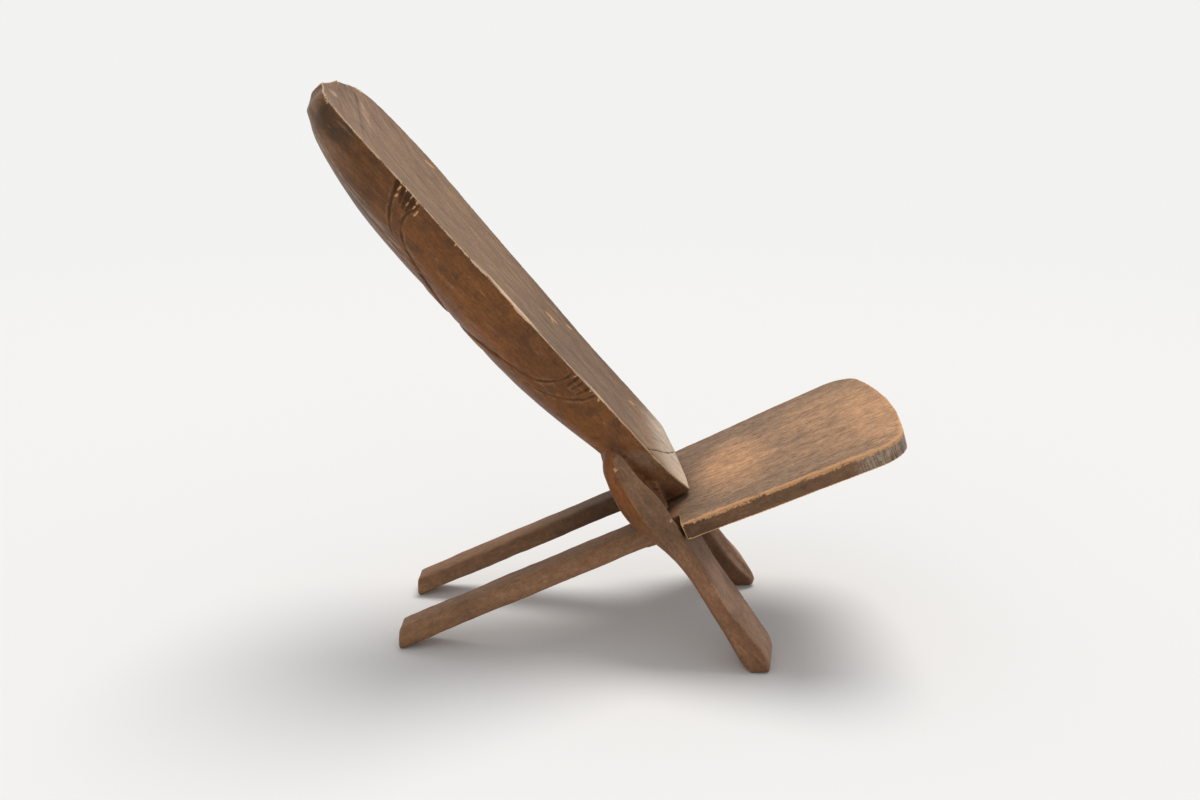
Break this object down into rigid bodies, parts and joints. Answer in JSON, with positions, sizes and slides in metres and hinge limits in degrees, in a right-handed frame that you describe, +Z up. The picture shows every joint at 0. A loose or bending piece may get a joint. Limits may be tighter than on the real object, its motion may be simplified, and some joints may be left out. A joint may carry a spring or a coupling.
{
  "type": "african birthing chair",
  "caption": "Low birthing chair of crossed hardwood planks: a thick leaf-shaped back on splayed front legs, locked around a seat board with rear legs.",
  "frame": {"origin": "on the floor, at the centre of the bounding box's base", "axes": "+X the way the sitter faces, +Y to the sitter's left, +Z up; all feet stand on z = 0"},
  "size_m": [0.7822, 0.36, 0.7624],
  "materials": {
    "back_wood": "weathered, waxed dark hardwood with worn edges",
    "seat_wood": "weathered dark hardwood, worn orange-tan in the middle of the seat"
  },
  "bodies": {
    "back": {"back_with_front_legs": "back_wood"},
    "seat": {"seat_with_rear_legs": "seat_wood"}
  },
  "joints": [
    {"name": "seat_slide", "type": "slide", "parent": "back", "child": "seat", "axis": [0.91, 0, 0.4147], "range_m": [0, 0.5]}
  ]
}
